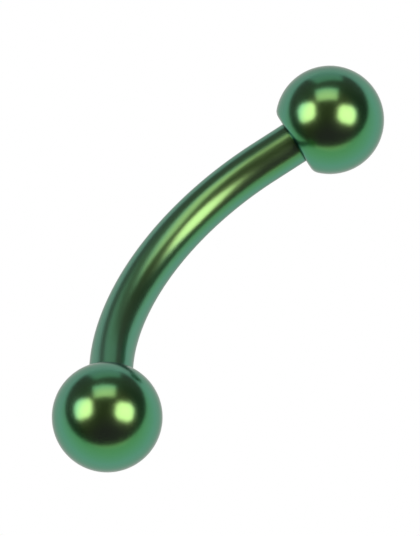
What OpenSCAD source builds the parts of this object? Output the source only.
// Curved eyebrow barbell: a bent round bar with a ball screwed on each end.
// It lies as it would on a table, on its two balls and the middle of its bend.
// Millimetres, +Z up, +X along the line through the balls, the bend towards +Y.
// The origin is on the table, under the middle of the barbell's outline.

/* [Bar] */
// Diameter of the bar
bar_d = 1.2; // [1:0.1:1.6]
// Straight distance between the two balls' flat faces
wear_length = 9.5; // [8:0.5:12]
// Radius of the bend, to the middle of the bar
bend_r = 7; // [6:0.5:12]
// Straight stretch of the bar between the bend and each ball
end_straight = 1; // [0.4:0.1:1.4]

/* [Thread] */
// Length of the thread beyond the bar's shoulder
thread_length = 1.5; // [1.2:0.05:1.6]
// Distance from one thread crest to the next
thread_pitch = 0.25; // [0.2:0.05:0.3]
// Depth of the thread, crest to root
thread_depth = 0.15; // [0.1:0.01:0.16]
// Step in radius from the bar down to the thread's crests
thread_step = 0.06; // [0.05:0.01:0.08]
// Chamfer round the thread's tip
tip_chamfer = 0.1; // [0.05:0.01:0.15]

/* [Balls] */
// Diameter of each ball
ball_d = 3; // [3:0.5:5]
// Diameter of the flat face where the bar enters the ball
ball_face_d = 1.9; // [1.8:0.1:2.2]
// How far the socket runs past the end of the thread
socket_spare = 0.15; // [0.1:0.05:0.25]
// Whole angle of the socket's drilled point
drill_angle = 118; // [90:2:140]

/* [Fit] */
// Gap all round between the thread's crests and the socket
fit_gap = 0.02; // [0.01:0.01:0.03]
// Gap between the bar's shoulder and the ball's flat face
seat_gap = 0.02; // [0.01:0.01:0.03]

/* [Hidden] */
$fn = 128;

bar_r = bar_d / 2;
ball_r = ball_d / 2;

// The thread and the socket that it runs in
crest_r = bar_r - thread_step;
root_r = crest_r - thread_depth;
thread_turns = floor((thread_length - tip_chamfer) / thread_pitch);
socket_r = crest_r + fit_gap;
socket_depth = thread_length + socket_spare;
drill_point = socket_r / tan(drill_angle / 2);

// Distance from a ball's centre to its flat face
face_out = sqrt(pow(ball_r, 2) - pow(ball_face_d / 2, 2));

// Half of the angle that the bend turns through. Half of the bend and one
// straight end together span half of the wear length.
end_reach = end_straight + seat_gap;
half_bend = asin(wear_length / 2 / norm([bend_r, end_reach])) - atan(end_reach / bend_r);

// How far the bend rises from the line through the balls' centres, and how
// far it leans down from there until the middle of the bar meets the table
rise = bend_r * (1 - cos(half_bend)) + (end_reach + face_out) * sin(half_bend);
lean = asin((ball_r - bar_r) / rise);

// The outline's front, back and middle, seen from above
front_y = -ball_r;
back_y = rise * cos(lean) + bar_r;
middle_y = (front_y + back_y) / 2;

// Half of the bend is drawn a little too long and cut on the middle plane,
// where its mirror image meets it
past_middle = 5;
beyond = wear_length + ball_d;

module lie_on_table() {
    translate([0, -middle_y, ball_r])
        rotate([-lean, 0, 0])
            children();
}

// Puts the middle of the bend's circle at the origin, in the bend's own plane,
// with the right end of the bend on the X axis
module at_bend_middle() {
    translate([0, rise - bend_r, 0])
        rotate([0, 0, 90 - half_bend])
            children();
}

// Puts something drawn along +Z on the right end of the bend, pointing outwards
module past_bend() {
    translate([bend_r, 0, 0])
        rotate([90, 0, 0])
            children();
}

module thread() {
    turns = [
        for (turn = [0 : thread_turns - 1])
            each [
                [root_r, turn * thread_pitch],
                [crest_r, (turn + 0.5) * thread_pitch]
            ]
    ];
    tip = [
        [root_r, thread_turns * thread_pitch],
        [root_r, thread_length - tip_chamfer],
        [root_r - tip_chamfer, thread_length],
        [0, thread_length]
    ];
    rotate_extrude()
        polygon(concat([[0, 0]], turns, tip));
}

module straight_end() {
    cylinder(d = bar_d, h = end_straight);
    translate([0, 0, end_straight])
        thread();
}

module half_bar() {
    intersection() {
        at_bend_middle() {
            rotate_extrude(angle = half_bend + past_middle)
                translate([bend_r, 0])
                    circle(d = bar_d);
            past_bend()
                straight_end();
        }
        translate([0, -beyond, -beyond])
            cube(2 * beyond);
    }
}

module socket() {
    cylinder(r = socket_r, h = socket_depth);
    translate([0, 0, socket_depth])
        cylinder(r1 = socket_r, r2 = 0, h = drill_point);
}

module ball() {
    at_bend_middle()
        past_bend()
            translate([0, 0, end_reach])
                difference() {
                    translate([0, 0, face_out])
                        sphere(d = ball_d);
                    translate([-ball_r, -ball_r, -ball_d])
                        cube(ball_d);
                    socket();
                }
}

module curved_bar() {
    color("limegreen")
        lie_on_table() {
            half_bar();
            mirror([1, 0, 0])
                half_bar();
        }
}

module left_ball() {
    color("yellowgreen")
        lie_on_table()
            mirror([1, 0, 0])
                ball();
}

module right_ball() {
    color("yellowgreen")
        lie_on_table()
            ball();
}

curved_bar();
left_ball();
right_ball();
